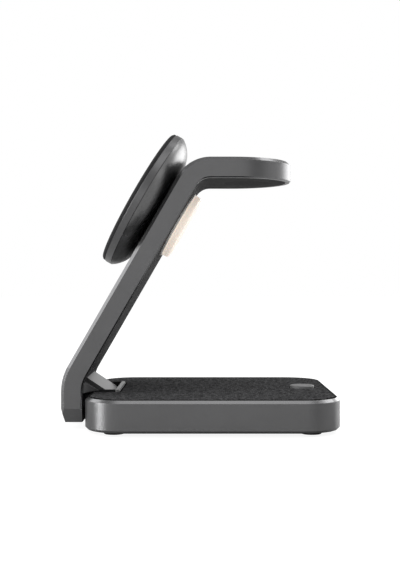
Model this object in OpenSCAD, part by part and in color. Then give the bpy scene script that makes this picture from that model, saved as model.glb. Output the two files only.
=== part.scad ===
// Four in one wireless charging stand: a rounded base with a fabric top, a bent aluminium arm
// that carries a magnetic phone disc, a round night light and a watch place on its flat head.
// Millimetres. +Z is up, the phone disc faces -X, the origin is below the middle on the table.

/* [Base] */
// Length of the base along X
base_l = 98.5; // [90:0.5:120]
// Width of the base along Y
base_w = 90; // [80:1:110]
// Height of the aluminium band
base_h = 12.3; // [12:0.1:16]
// Radius of the band's corners
corner_r = 16; // [12:0.5:24]
// Thickness of the band's wall
band_t = 2.4; // [2:0.1:3]
// Bevel on the band's top edge
top_bevel = 1.1; // [0.6:0.1:1.4]
// Bevel on the band's bottom edge
low_bevel = 1; // [0.4:0.1:1.4]
// Thickness of the fabric top
fabric_t = 1.2; // [0.8:0.1:1.6]
// How far the fabric stands above the band
fabric_rise = 0.4; // [0.2:0.1:0.8]
// Thickness of the deck under the fabric
deck_t = 1.8; // [1.4:0.1:2.2]
// Thickness of the bottom plate
floor_t = 2; // [1.6:0.1:2.2]
// Diameter of a rubber foot
foot_d = 8; // [7:0.5:10]
// How far a foot stands below the bottom plate
foot_stand = 1.5; // [1:0.1:2.5]
// Distance of a foot and its screw from the base's edges
foot_inset = 11.5; // [10.5:0.5:14]

/* [Lamp button] */
// Diameter of the button
button_d = 10; // [9:0.5:12]
// Distance of the button from the end of the base
button_inset = 11.6; // [11.2:0.1:13]
// How far the button stands above the fabric
button_rise = 0.9; // [0.6:0.1:1.2]
// Travel of the button
button_travel = 0.4; // [0.2:0.05:0.4]

/* [Base charger] */
// Distance of the coil's centre from the end of the base
coil_inset = 41.9; // [40:0.5:48]
// Outer diameter of the coil
base_coil_d = 42; // [36:1:43]
// Inner diameter of the coil
base_coil_hole = 20; // [16:1:26]
// Thickness of the coil
coil_t = 1.2; // [0.8:0.1:1.4]
// Thickness of the ferrite sheet
ferrite_t = 0.8; // [0.5:0.1:1]
// Thickness of the steel ballast plate
ballast_t = 3; // [2:0.5:4]

/* [Arm] */
// Width of the arm
arm_w = 50; // [44:1:60]
// Thickness of the arm
arm_t = 8.3; // [8:0.1:10]
// Lean of the arm above the horizontal, in degrees
lean = 60; // [58:1:64]
// Height of the outer corner of the lower bend
knee_h = 20.4; // [19:0.2:24]
// Height of the top of the head
head_top = 107.3; // [100:0.5:125]
// Length of the head from its outer corner to its tip
head_l = 42; // [40:0.5:50]
// Outer radius of the lower bend
knee_r = 20; // [17:0.5:22]
// Outer radius of the upper bend
neck_r = 15; // [13:0.5:16]
// Gap between the arm and the end of the base
arm_gap = 1.9; // [1.5:0.1:2.4]
// Height of the arm's lower end above the table
arm_clear = 2.9; // [2:0.1:4]
// Bevel on the arm's outer edges
outer_bevel = 1.25; // [0.6:0.05:1.6]
// Bevel on the arm's inner edges
inner_bevel = 0.5; // [0.3:0.05:0.8]
// Height of the tapered lower end
taper_h = 5.4; // [4:0.1:6]
// How far the lower end tapers in
taper_in = 1.6; // [1:0.1:2]
// Thickness of the arm's outer skin
skin_t = 2.2; // [1.8:0.1:2.6]
// Thickness of the arm's side walls
side_t = 3; // [2.6:0.1:4]
// Thickness of the inner cover
cover_t = 1.6; // [1.2:0.1:2]

/* [Brace] */
// Width of the brace and of its tongue
brace_w = 28.4; // [24:0.2:30]
// Slope of the brace plate below the horizontal, in degrees
brace_slope = 33.5; // [30:0.5:36]
// Height at which the plate's top meets the arm
brace_h = 19.6; // [19:0.1:20.4]
// Thickness of the plate
plate_t = 1.6; // [1.2:0.1:1.8]
// Distance from the end of the base to the far wall of the slot
slot_reach = 10.6; // [10.2:0.1:11.6]
// Free space between the tongue and the slot's far wall
slot_gap = 1.4; // [1.2:0.1:1.6]
// Width of the trim round the slot
trim_w = 1.5; // [1.2:0.1:1.8]
// How far the trim stands above the fabric
trim_rise = 0.7; // [0.4:0.1:1]

/* [Phone disc] */
// Diameter of the disc
disc_d = 60; // [56:0.5:64]
// Distance of its centre below the upper bend's corner, along the arm
disc_at = 22.543; // [20.5:0.1:26]
// Distance from the arm's face to the front of the disc
disc_reach = 11.5; // [11:0.1:13]
// Height of the metal rim
rim_h = 3; // [2.4:0.1:3.4]
// Thickness of the soft front pad
pad_t = 1.5; // [1:0.1:1.8]
// Radius of the shell's rounded back
dome_r = 8; // [7.6:0.1:9]
// Wall of the back shell
shell_t = 1.6; // [1.4:0.1:1.8]
// Number of magnets in the ring
magnet_n = 18; // [12:2:24]

/* [Night light] */
// Diameter of the diffuser
light_d = 28.2; // [26:0.2:30]
// Distance of its centre below the upper bend's corner, along the arm
light_at = 24.343; // [22.5:0.1:28]
// Height of the diffuser
light_h = 2.9; // [2.4:0.1:3.4]
// Thickness of the white ring under the diffuser
ring_t = 0.8; // [0.6:0.1:1]
// Number of lamps on the board
led_n = 12; // [8:1:14]

/* [Watch place] */
// Diameter of the watch puck
watch_d = 27; // [25:0.5:28]
// How far the puck stands above the head
watch_rise = 0.8; // [0.4:0.1:1.2]
// Diameter of the round plug in the head's underside
plug_d = 19.4; // [16:0.2:22]
// Distance of the plug's centre from the head's tip
plug_inset = 17.7; // [16:0.1:20]

/* [Hidden] */
$fn = 96;

// Overrun that lets a cut pass cleanly through its face
over = 0.6;
// Clearance between pieces that are fitted together
fit = 0.15;
// Small bevel on moulded edges
soft_edge = 0.3;

// Places along X: the arm's lower end and the base's far end are equally far from the origin
whole_l = arm_t + arm_gap + base_l;
foot_x = -whole_l / 2;
base_x0 = foot_x + arm_t + arm_gap;
base_x1 = base_x0 + base_l;
base_mid = (base_x0 + base_x1) / 2;

// Heights in the base
floor_z = foot_stand;
band_top = foot_stand + base_h;
fabric_top_z = band_top + fabric_rise;
deck_top = fabric_top_z - fabric_t;
deck_z = deck_top - deck_t;
trim_top = fabric_top_z + trim_rise;

// Fabric and deck lie in a rebate at the top of the band
lip_t = top_bevel + fit;

// The arm's outer line: a corner at each bend, arcs tangent to both runs
corner_1 = [foot_x, knee_h];
leg_l = (head_top - knee_h) / sin(lean);
corner_2 = corner_1 + leg_l * [cos(lean), sin(lean)];
disc_u = leg_l - disc_at;
light_u = leg_l - light_at;
knee_turn = 90 - lean;
knee_tan = knee_r * tan(knee_turn / 2);
neck_tan = neck_r * tan(lean / 2);
knee_c = [foot_x + knee_r, knee_h - knee_tan];
neck_c = [corner_2.x + neck_tan, head_top - neck_r];
tip_x = corner_2.x + head_l;
tip_c = tip_x - arm_w / 2;
// Surplus on a bend's radius, and how far, in degrees, a round bevel cut runs on past its bend
bend_ease = 0.004;
bend_lap = 3;

// The inner cover starts a little above the brace
cover_gap = 3;
cover_u = (brace_h - knee_h) / sin(lean) + arm_t / tan(lean) + cover_gap;
// Width of the frame's edge outside the cover, and depth of the ledge it rests on
cover_lap = 1;
cover_lip = side_t - cover_lap;

// Slot in the deck, and the brace's tongue in it
slot_x1 = base_x0 + slot_reach;
slot_x0 = base_x0 + band_t + fit;
slot_side = 1.2;
slot_w = brace_w + 2 * slot_side;
tongue_x1 = slot_x1 - slot_gap;
socket_t = 1.4;
tongue_x0 = slot_x0 + socket_t + fit;
socket_drop = 5.4;
socket_z = deck_top - socket_drop;
tongue_z = socket_z + fit;
block_z = fabric_top_z + fit;
flare_side = 1.2;
tenon_w = 16;
tenon_h = 1.2;
tenon_d = 1.5;
tenon_play = 0.05;

// Line of the plate's top where it meets the arm, and the flare of the block beside it
plate_x = foot_x + (brace_h - knee_h) / tan(lean) + arm_t / sin(lean);
plate_end_z = brace_h - (tongue_x1 - plate_x) * tan(brace_slope);
flare_w = arm_w / 2 - flare_side;
flare_r = flare_w - brace_w / 2;
flare_x = plate_x + flare_r;
// The trim starts where the flare's round side crosses the slot's edge
trim_x0 = flare_x - sqrt(flare_r * flare_r - (flare_r - slot_side) * (flare_r - slot_side)) + fit;
brace_screw_y = 8;
brace_screw_drop = 3.4;
brace_screw_l = 3.4;

// Screws: small pan heads on plain shanks
screw_d = 2;
screw_head_d = 3.8;
screw_head_h = 1.2;
foot_recess = floor_t - screw_head_h;
post_d = 6;
boss_t = 1.2;
screw_l = 6.5;

// Button: a round cap with a collar below the deck that stops it at rest
button_x = base_x1 - button_inset;
button_play = 0.25;
collar_w = 1.2;
collar_t = 0.9;
button_top = fabric_top_z + button_rise;
rest_gap = 0.05;
collar_top = deck_z - rest_gap;
button_low = collar_top - collar_t;
press_room = 0.05;
switch_w = 6;
plunger_d = 3;
plunger_h = 0.6;

// Control board, with the switch under the button and the socket at the end wall
board_t = 1.2;
board_w = 34;
board_l = 15.2;
switch_top = button_low - button_travel - press_room;
usb_w = 8.94;
usb_h = 3.2;
usb_l = 7.4;
usb_wall = 0.35;
usb_tongue_w = 6.7;
usb_tongue_t = 0.7;
usb_tongue_l = 5.2;
usb_inset = 0.25;
usb_play = 0.2;
usb_room = 0.3;
board_top = button_low - button_travel - usb_room - usb_h;
board_x1 = base_x1 - band_t - fit;
board_x0 = board_x1 - board_l;
board_post = 3.2;
chip_l = 4;
chip_t = 0.9;
chip_n = 4;
chip_step = 7;

// Flat coils in the base
coil_x = base_x1 - coil_inset;
ferrite_over = 1;
turn_pitch = 2.4;
turn_groove = 0.35;

// Ballast plate, in the room between the slot's socket, the board and the feet's posts
ballast_near = 5.1;
ballast_far = 3.65;
ballast_side = 1.5;
ballast_x0 = slot_x1 + socket_t + ballast_near;
ballast_x1 = board_x0 - ballast_far;
ballast_l = ballast_x1 - ballast_x0;
ballast_w = base_w - 2 * (foot_inset + post_d / 2 + ballast_side);
ballast_r = 6;
ballast_x = (ballast_x0 + ballast_x1) / 2;

// Phone disc, measured outwards from the arm's outer face
disc_r = disc_d / 2;
rim_z = disc_reach - pad_t - rim_h;
pad_z = disc_reach - pad_t;
back_gap = 1;
neck_seat_r = 16;
seam = 0.25;
rim_wall = 2.2;
pad_dish = 0.3;
pad_ring_w = 5;
pad_ring_in = 1.2;
wire_hole_d = 8;
phone_screw_n = 3;
phone_screw_at = 11.5;
phone_screw_in = 2;
magnet_w = 4;
magnet_t = 2.2;
magnet_fill_share = 0.86;
magnet_play = 0.6;
magnet_at = disc_r - rim_wall - magnet_play - magnet_w / 2;
pad_ring_at = magnet_at - pad_ring_in;
phone_coil_gap = 1.2;
phone_coil_d = 2 * (magnet_at - magnet_w / 2 - phone_coil_gap);
phone_coil_hole = 20;
phone_board_d = 34;
phone_board_z = 4.6;
standoff_d = 3;
standoff_at = 14;

// Night light, measured inwards from the arm's inner face
ring_over = 0.6;
light_collar_d = 24;
light_wall = 1.4;
light_edge = 1.2;
light_lip = 1.6;
led_l = 2;
led_w = 1.4;
led_h = 0.7;
led_at = 8.6;
light_board_z = -cover_t;

// Watch place in the head: the puck's flange lies just inside the wall at the tip
puck_wall = 1.2;
puck_flange = 1;
puck_room = 0.3;
watch_x = tip_x - side_t - puck_room - puck_flange - watch_d / 2;
plug_x = tip_x - plug_inset;
puck_flange_t = 1.2;
puck_brim = 1.5;
watch_coil_d = watch_d - 2 * (puck_wall + fit);
watch_coil_hole = 13;
watch_magnet_d = 11;
watch_magnet_t = 2;
watch_dish_d = watch_d - 2 * puck_brim;
watch_dish = 0.25;
puck_ceiling = head_top + watch_rise - watch_dish - puck_wall;
watch_board_l = 18;
watch_board_w = 28;
plug_step = 1.2;

// Flat cable inside the arm
flex_w = 9;
flex_t = 0.3;
flex_slack = 2;

// Colours
metal_grey = [0.36, 0.36, 0.36];
bright_grey = [0.55, 0.55, 0.55];
dark_grey = [0.2, 0.2, 0.21];
black = [0.07, 0.07, 0.08];
copper = [0.72, 0.43, 0.22];
steel = [0.6, 0.6, 0.62];
board_green = [0.1, 0.3, 0.18];
cream = [0.9, 0.84, 0.78];
white = [0.95, 0.95, 0.93];

// Rectangle with round corners, centred
module round_rect(l, w, r) {
    square([l - 2 * r, w], center = true);
    square([l, w - 2 * r], center = true);
    for (x = [-1, 1], y = [-1, 1])
        translate([x * (l / 2 - r), y * (w / 2 - r)]) circle(r);
}

// Slot shape with half-round ends, centred, long in x
module stadium(l, h) {
    square([l - h, h], center = true);
    for (x = [-1, 1]) translate([x * (l - h) / 2, 0]) circle(h / 2);
}

// The base's outline, moved in by a distance
module base_outline(inset) {
    translate([base_mid, 0]) round_rect(base_l - 2 * inset, base_w - 2 * inset, corner_r - inset);
}

// Sweeps a section along the base's outline: its x is the distance out from the corner centres
module sweep_base() {
    run_l = base_l - 2 * corner_r;
    run_w = base_w - 2 * corner_r;
    translate([base_mid, 0, 0]) {
        for (side = [0, 180]) rotate([0, 0, side]) {
            translate([run_l / 2, run_w / 2, 0]) rotate([90, 0, 0])
                linear_extrude(run_w) children();
            translate([-run_l / 2, run_w / 2, 0]) rotate([90, 0, 90])
                linear_extrude(run_l) children();
            translate([run_l / 2, run_w / 2, 0]) rotate_extrude(angle = 90) children();
            translate([-run_l / 2, run_w / 2, 0]) rotate([0, 0, 90])
                rotate_extrude(angle = 90) children();
        }
    }
}

// Section of the aluminium band: bevels outside, a rebate for the deck at the top
module band_section() {
    out = corner_r;
    polygon([
        [out - band_t, floor_z], [out - low_bevel, floor_z], [out, floor_z + low_bevel],
        [out, band_top - top_bevel], [out - top_bevel, band_top], [out - lip_t, band_top],
        [out - lip_t, deck_z], [out - band_t, deck_z]
    ]);
}

// What a round corner takes off a sharp one, about the round's centre. Its radius is a hair
// too large, so that it crosses the straight runs in place of touching them.
module bend_cut(r, a0, a1) {
    k = r + over;
    far = k / cos((a1 - a0) / 2);
    mid = (a0 + a1) / 2;
    difference() {
        polygon([[0, 0], k * [cos(a0), sin(a0)], far * [cos(mid), sin(mid)], k * [cos(a1), sin(a1)]]);
        circle(r + bend_ease);
    }
}

// Everything on the inner side of the arm's outer line, from a depth on
module inner_side(d, grow) {
    low = arm_clear - grow;
    far = tip_x + grow;
    difference() {
        polygon([
            [foot_x + d, low], knee_c + (knee_r - d) * [-1, tan(knee_turn / 2)],
            neck_c + (neck_r - d) * [-tan(lean / 2), 1], [far, head_top - d], [far, low]
        ]);
        translate(knee_c) bend_cut(knee_r - d, 90 + lean, 180);
        translate(neck_c) bend_cut(neck_r - d, 90, 90 + lean);
    }
}

// Side view of the whole arm between two depths
module whole_strip(d0, d1) {
    difference() {
        inner_side(d0, over);
        inner_side(d1, 2 * over);
    }
}

// The same from a place on the leg up
module upper_strip(d0, d1, u0) {
    intersection() {
        whole_strip(d0, d1);
        translate(corner_1) rotate(lean) translate([u0, -whole_l]) square(2 * whole_l);
    }
}

// Part of a ring between two radii and two angles less than 180 degrees apart
module ring_sector(r0, r1, a0, a1) {
    reach = 2 * r1;
    intersection() {
        difference() {
            circle(r1);
            circle(r0);
        }
        polygon([[0, 0], reach * [cos(a0), sin(a0)], reach * [cos(a1), sin(a1)]]);
    }
}

// Plan of the arm: straight sides and a half-round tip, moved in by a distance
module arm_plan(inset) {
    half = arm_w / 2 - inset;
    translate([foot_x - over, -half]) square([tip_c - foot_x + over, 2 * half]);
    translate([tip_c, 0]) circle(half);
}

// Turns a side view into a solid that keeps within the arm's plan
module arm_solid(inset) {
    intersection() {
        rotate([90, 0, 0]) linear_extrude(arm_w, center = true) children();
        translate([0, 0, arm_clear]) linear_extrude(head_top) arm_plan(inset);
    }
}

// Puts pieces on the arm's outer face: x runs up the leg and z stands out of it
module on_leg(u) {
    translate([corner_1.x, 0, corner_1.y]) rotate([0, -lean, 0]) translate([u, 0, 0]) children();
}

// Puts pieces on the arm's inner face, with z standing out of it
module on_inner(u) {
    on_leg(u) translate([0, 0, -arm_t]) mirror([0, 0, 1]) children();
}

// Corner that a bevel takes off, with its edge at the origin and the solid at +x and -y
module bevel_corner(size) {
    polygon([[-over, over], [size + over, over], [-over, -size - over]]);
}

// Cuts the bevel along one edge of the arm, at -Y, at a depth below the outer line.
// Straight cuts run on past an outer bend, round cuts run on past an inner one.
module edge_bevel(size, depth, inner) {
    half = arm_w / 2;
    turn = inner ? [1, -1] : [1, 1];
    lap = inner ? 0 : over;
    lap_a = inner ? bend_lap : 0;
    translate([foot_x + depth, -half, arm_clear - over]) rotate([0, 0, 90])
        linear_extrude(knee_c.y - arm_clear + over + lap) scale(turn) bevel_corner(size);
    on_leg(knee_tan - lap) translate([0, -half, -depth]) rotate([90, 0, 90])
        linear_extrude(leg_l - knee_tan - neck_tan + 2 * lap) scale(turn) bevel_corner(size);
    translate([neck_c.x - lap, -half, head_top - depth]) rotate([90, 0, 90])
        linear_extrude(tip_c - neck_c.x + lap + over) scale(turn) bevel_corner(size);
    translate([knee_c.x, 0, knee_c.y]) rotate([90, 0, 0]) rotate([0, 0, 90 + lean - lap_a])
        rotate_extrude(angle = knee_turn + 2 * lap_a) translate([knee_r + bend_ease - depth, half])
        rotate(-90) scale(turn) bevel_corner(size);
    translate([neck_c.x, 0, neck_c.y]) rotate([90, 0, 0]) rotate([0, 0, 90 - lap_a])
        rotate_extrude(angle = lean + 2 * lap_a) translate([neck_r + bend_ease - depth, half])
        rotate(-90) scale(turn) bevel_corner(size);
}

// Cuts the bevel round the half-round tip at a depth below the top
module tip_bevel(size, depth, inner) {
    translate([tip_c, 0, head_top - depth]) rotate([0, 0, -90])
        rotate_extrude(angle = 180) translate([arm_w / 2, 0])
        scale(inner ? [-1, -1] : [-1, 1]) bevel_corner(size);
}

// Pan-head screw pointing down, its head's seat at the origin
module screw(l) {
    cylinder(h = screw_head_h, d = screw_head_d);
    translate([0, 0, -l]) cylinder(h = l, d = screw_d);
}

// Places of the four feet
module at_feet() {
    for (x = [base_x0 + foot_inset, base_x1 - foot_inset], y = [-1, 1])
        translate([x, y * (base_w / 2 - foot_inset), 0]) children();
}

// Flat ring winding with shallow grooves between its layers of turns, from z = 0 up
module winding(d, hole, t) {
    difference() {
        cylinder(h = t, d = d);
        translate([0, 0, -over]) cylinder(h = t + 2 * over, d = hole);
        for (r = [hole / 2 + turn_pitch : turn_pitch : d / 2 - turn_pitch / 2])
            translate([0, 0, t - turn_groove]) difference() {
                cylinder(h = turn_groove + over, r = r + turn_groove / 2);
                translate([0, 0, -over]) cylinder(h = turn_groove + 3 * over, r = r - turn_groove / 2);
            }
    }
}

module base_frame() {
    usb_z = board_top + usb_h / 2;
    color(metal_grey) difference() {
        sweep_base() band_section();
        translate([base_x1 - band_t - over, 0, usb_z]) rotate([90, 0, 90])
            linear_extrude(band_t + 2 * over) stadium(usb_w + 2 * usb_play, usb_h + 2 * usb_play);
    }
}

module base_floor() {
    color(black) difference() {
        union() {
            translate([0, 0, floor_z]) linear_extrude(floor_t) base_outline(band_t + fit);
            for (y = [-1, 1]) translate([board_x0 + board_post, y * (board_w / 2 - board_post), floor_z])
                cylinder(h = board_top - board_t - floor_z, d = board_post);
            at_feet() translate([0, 0, floor_z]) cylinder(h = floor_t + boss_t, d = post_d);
        }
        at_feet() {
            translate([0, 0, floor_z - over]) cylinder(h = over + foot_recess, d = foot_d + fit);
            cylinder(h = floor_z + floor_t, d = screw_head_d + fit);
            cylinder(h = floor_z + floor_t + boss_t + over, d = screw_d + fit);
        }
    }
}

module base_deck() {
    post_z = floor_z + floor_t + boss_t;
    color(dark_grey) difference() {
        union() {
            translate([0, 0, deck_z]) linear_extrude(deck_t) base_outline(lip_t + fit / 2);
            at_feet() translate([0, 0, post_z]) cylinder(h = deck_z - post_z, d = post_d);
            translate([slot_x0, -slot_w / 2 - socket_t, socket_z - socket_t])
                cube([slot_x1 - slot_x0 + socket_t, slot_w + 2 * socket_t, deck_top - socket_z + socket_t]);
        }
        translate([slot_x0 + socket_t, -slot_w / 2, socket_z])
            cube([slot_x1 - slot_x0 - socket_t, slot_w, deck_top - socket_z + over]);
        translate([button_x, 0, deck_z - over])
            cylinder(h = deck_t + 2 * over, d = button_d + 2 * button_play);
        at_feet() cylinder(h = floor_z + floor_t + screw_l + fit, d = screw_d);
    }
}

// Fabric top: a soft quarter-round edge, with holes for the slot's trim and the button
module fabric_top() {
    edge = fabric_rise;
    out = corner_r - lip_t - fit / 2;
    color(black) difference() {
        union() {
            translate([0, 0, deck_top]) linear_extrude(fabric_t) base_outline(lip_t + fit / 2 + edge);
            sweep_base() {
                translate([out - 2 * edge, deck_top]) square([2 * edge, fabric_t - edge]);
                translate([out - 2 * edge, deck_top]) square([edge, fabric_t]);
                translate([out - edge, fabric_top_z - edge]) circle(edge);
            }
        }
        translate([base_x0, -slot_w / 2 - trim_w - fit, deck_top - over])
            cube([slot_x1 - base_x0 + trim_w + fit, slot_w + 2 * (trim_w + fit), fabric_t + 2 * over]);
        translate([button_x, 0, deck_top - over])
            cylinder(h = fabric_t + 2 * over, d = button_d + 2 * button_play);
    }
}

// Trim round three sides of the slot: it ends against the block's flare
module slot_trim() {
    half = slot_w / 2 + trim_w;
    far = slot_x1 + trim_w;
    color(bright_grey) translate([0, 0, deck_top]) linear_extrude(trim_top - deck_top) difference() {
        union() {
            translate([trim_x0, -half]) square([far - trim_w - trim_x0, 2 * half]);
            translate([slot_x1, trim_w - half]) square([trim_w, 2 * (half - trim_w)]);
            for (y = [-1, 1]) translate([slot_x1, y * (half - trim_w)]) circle(trim_w);
        }
        translate([trim_x0 - trim_w, -slot_w / 2]) square([slot_x1 - trim_x0 + trim_w, slot_w]);
    }
}

module lamp_button() {
    color(bright_grey) translate([button_x, 0, 0]) rotate_extrude() polygon([
        [0, button_low], [button_d / 2 + collar_w, button_low],
        [button_d / 2 + collar_w, button_low + collar_t], [button_d / 2, button_low + collar_t],
        [button_d / 2, button_top - soft_edge], [button_d / 2 - soft_edge, button_top],
        [0, button_top]
    ]);
}

module button_switch() {
    body_h = switch_top - plunger_h - board_top;
    color(black) translate([button_x, 0, board_top]) {
        translate([-switch_w / 2, -switch_w / 2, 0]) cube([switch_w, switch_w, body_h]);
        cylinder(h = body_h + plunger_h, d = plunger_d);
    }
}

module base_board() {
    color(board_green) {
        translate([board_x0, -board_w / 2, board_top - board_t]) cube([board_l, board_w, board_t]);
        for (i = [0 : chip_n - 1]) for (y = [-1, 1])
            translate([board_x0 + board_post, y * (switch_w + (i % 2) * chip_step) - chip_l / 2,
                board_top]) cube([chip_l, chip_l - i % 2, chip_t]);
    }
}

// Socket: a stadium-shaped metal sleeve, closed at the back, with a contact tongue inside
module usb_c_socket() {
    x1 = base_x1 - usb_inset;
    color(steel) translate([x1 - usb_l, 0, board_top + usb_h / 2]) rotate([90, 0, 90]) {
        difference() {
            linear_extrude(usb_l) stadium(usb_w, usb_h);
            translate([0, 0, 2 * usb_wall]) linear_extrude(usb_l)
                stadium(usb_w - 2 * usb_wall, usb_h - 2 * usb_wall);
        }
        linear_extrude(usb_tongue_l) square([usb_tongue_w, usb_tongue_t], center = true);
    }
}

module base_coil() {
    color(copper) translate([coil_x, 0, deck_z]) mirror([0, 0, 1])
        winding(base_coil_d, base_coil_hole, coil_t);
}

module base_ferrite() {
    color(dark_grey) translate([coil_x, 0, deck_z - coil_t - ferrite_t])
        cylinder(h = ferrite_t, d = base_coil_d + 2 * ferrite_over);
}

module ballast_plate() {
    color(steel) translate([ballast_x, 0, floor_z + floor_t]) linear_extrude(ballast_t)
        round_rect(ballast_l, ballast_w, ballast_r);
}

module base_feet() {
    color(black) at_feet() rotate_extrude() polygon([
        [0, 0], [foot_d / 2 - soft_edge, 0], [foot_d / 2, soft_edge],
        [foot_d / 2, floor_z + foot_recess], [0, floor_z + foot_recess]
    ]);
}

module base_screws() {
    color(steel) at_feet() translate([0, 0, floor_z + floor_t]) mirror([0, 0, 1]) screw(screw_l);
}

module arm_frame() {
    skin_in = arm_w / 2 + over;
    color(metal_grey) difference() {
        arm_solid(0) whole_strip(0, arm_t);
        arm_solid(side_t) upper_strip(skin_t, arm_t + over, cover_u + side_t);
        arm_solid(cover_lip) upper_strip(arm_t - cover_t, arm_t + over, cover_u);
        for (side = [0, 1]) mirror([0, side, 0]) {
            edge_bevel(outer_bevel, 0, false);
            edge_bevel(inner_bevel, arm_t, true);
            translate([foot_x - over, -skin_in, arm_clear]) rotate([90, 0, 90])
                linear_extrude(arm_t + 2 * over)
                polygon([[0, -over], [over + taper_in, -over], [over + taper_in, 0], [over, taper_h],
                    [0, taper_h]]);
        }
        tip_bevel(outer_bevel, 0, false);
        tip_bevel(inner_bevel, arm_t, true);
        rotate([90, 0, 0]) linear_extrude(arm_w + 2 * over, center = true)
            polygon([[foot_x - over, arm_clear - over], [foot_x + taper_in, arm_clear - over],
                [foot_x + taper_in, arm_clear], [foot_x, arm_clear + taper_h],
                [foot_x - over, arm_clear + taper_h]]);
        translate([watch_x, 0, head_top - skin_t - over]) cylinder(h = skin_t + 2 * over, d = watch_d + fit);
        on_leg(disc_u) {
            translate([0, 0, -skin_t - over]) cylinder(h = skin_t + 2 * over, d = wire_hole_d);
            phone_screw_places() translate([0, 0, -skin_t - over])
                cylinder(h = skin_t + 2 * over, d = screw_d);
        }
        brace_tenon(tenon_play);
    }
}

module phone_screw_places() {
    for (i = [0 : phone_screw_n - 1]) rotate([0, 0, i * 360 / phone_screw_n])
        translate([phone_screw_at, 0, 0]) children();
}

// Cover on the arm's inner face and under the head, with holes for the light and the plug
module arm_cover() {
    color(dark_grey) difference() {
        arm_solid(cover_lip + fit / 2) upper_strip(arm_t - cover_t, arm_t, cover_u + fit);
        on_inner(light_u) translate([0, 0, -cover_t - over])
            cylinder(h = cover_t + 2 * over, d = light_collar_d + fit);
        translate([plug_x, 0, head_top - arm_t - over])
            cylinder(h = cover_t + 2 * over, d = plug_d - 2 * plug_step);
        translate([plug_x, 0, head_top - arm_t - over])
            cylinder(h = cover_t / 2 + over, d = plug_d + fit);
    }
}

module arm_flex_cable() {
    end_x = watch_x - watch_d / 2 - puck_flange - flex_slack;
    color(copper) intersection() {
        rotate([90, 0, 0]) linear_extrude(flex_w, center = true)
            upper_strip(skin_t, skin_t + flex_t, cover_u + side_t + flex_slack);
        translate([foot_x, -flex_w, 0]) cube([end_x - foot_x, 2 * flex_w, head_top]);
    }
}

// Tenon that seats the brace in the arm's inner face
module brace_tenon(play) {
    translate([foot_x + arm_t - tenon_d - play, -tenon_w / 2 - play, block_z + over - play])
        cube([tenon_d + arm_gap / 2 + 2 * play, tenon_w + 2 * play, tenon_h + 2 * play]);
}

// Dark block between arm and slot: a wedge in side view that flares towards the arm in plan
module brace_block() {
    x0 = foot_x + arm_t - tenon_d;
    slope = tan(brace_slope);
    top_z = brace_h - plate_t / cos(brace_slope);
    tongue_end = tongue_x1 - plate_t;
    band_x = base_x0 + band_t + fit;
    meet_x = plate_x + (top_z - block_z) / slope;
    color(dark_grey) difference() {
        union() {
            rotate([90, 0, 0]) linear_extrude(brace_w, center = true) polygon([
                [base_x0, block_z], [base_x0, band_top + fit], [band_x, band_top + fit],
                [band_x, deck_top + fit], [tongue_x0, deck_top + fit], [tongue_x0, tongue_z],
                [tongue_end, tongue_z], [tongue_end, top_z - (tongue_end - plate_x) * slope],
                [meet_x, block_z]
            ]);
            difference() {
                rotate([90, 0, 0]) linear_extrude(2 * flare_w, center = true) polygon([
                    [x0, block_z], [meet_x, block_z], [x0, top_z + (plate_x - x0) * slope]
                ]);
                for (y = [-1, 1]) translate([flare_x, y * flare_w, 0])
                    cylinder(h = brace_h + over, r = flare_r);
            }
        }
        rotate([90, 0, 0]) linear_extrude(arm_w + 2 * over, center = true)
            whole_strip(-over, arm_t);
        brace_screw_places() translate([0, 0, -brace_screw_l])
            cylinder(h = brace_screw_l, d = screw_d);
    }
    color(dark_grey) brace_tenon(0);
}

// Sheet plate: the sloped face from the arm, bent down into the slot in front of the block
module brace_plate() {
    drop = plate_t / cos(brace_slope);
    tongue_end = tongue_x1 - plate_t;
    low = tan(brace_slope);
    color(bright_grey) difference() {
        rotate([90, 0, 0]) linear_extrude(brace_w, center = true) difference() {
            polygon([
                [plate_x - plate_t, brace_h + plate_t * low], [tongue_x1, plate_end_z],
                [tongue_x1, tongue_z], [tongue_end, tongue_z],
                [tongue_end, brace_h - drop - (tongue_end - plate_x) * low],
                [plate_x - plate_t, brace_h - drop + plate_t * low]
            ]);
            whole_strip(-over, arm_t);
        }
        brace_screw_places() translate([0, 0, -plate_t - over])
            cylinder(h = plate_t + 2 * over, d = screw_d + fit);
    }
}

// Screw places on the plate's vertical leg, with z pointing out of it
module brace_screw_places() {
    for (y = [-1, 1]) translate([tongue_x1, y * brace_screw_y, deck_top - brace_screw_drop])
        rotate([0, 90, 0]) children();
}

module brace_screws() {
    color(steel) brace_screw_places() {
        cylinder(h = slot_gap / 2, d = screw_head_d);
        translate([0, 0, -brace_screw_l]) cylinder(h = brace_screw_l, d = screw_d);
    }
}

// Watch puck: a cup seated in the head from below, with a shallow dish on top
module watch_puck() {
    top = head_top + watch_rise;
    seat = head_top - skin_t;
    r = watch_d / 2;
    color(white) translate([watch_x, 0, 0]) rotate_extrude() polygon([
        [0, top - watch_dish], [watch_dish_d / 2 - watch_dish, top - watch_dish],
        [watch_dish_d / 2, top], [r - soft_edge, top], [r, top - soft_edge], [r, seat],
        [r + puck_flange, seat], [r + puck_flange, seat - puck_flange_t],
        [r - puck_wall, seat - puck_flange_t], [r - puck_wall, top - watch_dish - puck_wall],
        [0, top - watch_dish - puck_wall]
    ]);
}

module watch_coil() {
    color(copper) translate([watch_x, 0, puck_ceiling]) mirror([0, 0, 1])
        winding(watch_coil_d, watch_coil_hole, coil_t);
}

module watch_ferrite() {
    color(dark_grey) translate([watch_x, 0, puck_ceiling - coil_t - ferrite_t]) difference() {
        cylinder(h = ferrite_t, d = watch_coil_d);
        translate([0, 0, -over]) cylinder(h = ferrite_t + 2 * over, d = watch_coil_hole);
    }
}

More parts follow.
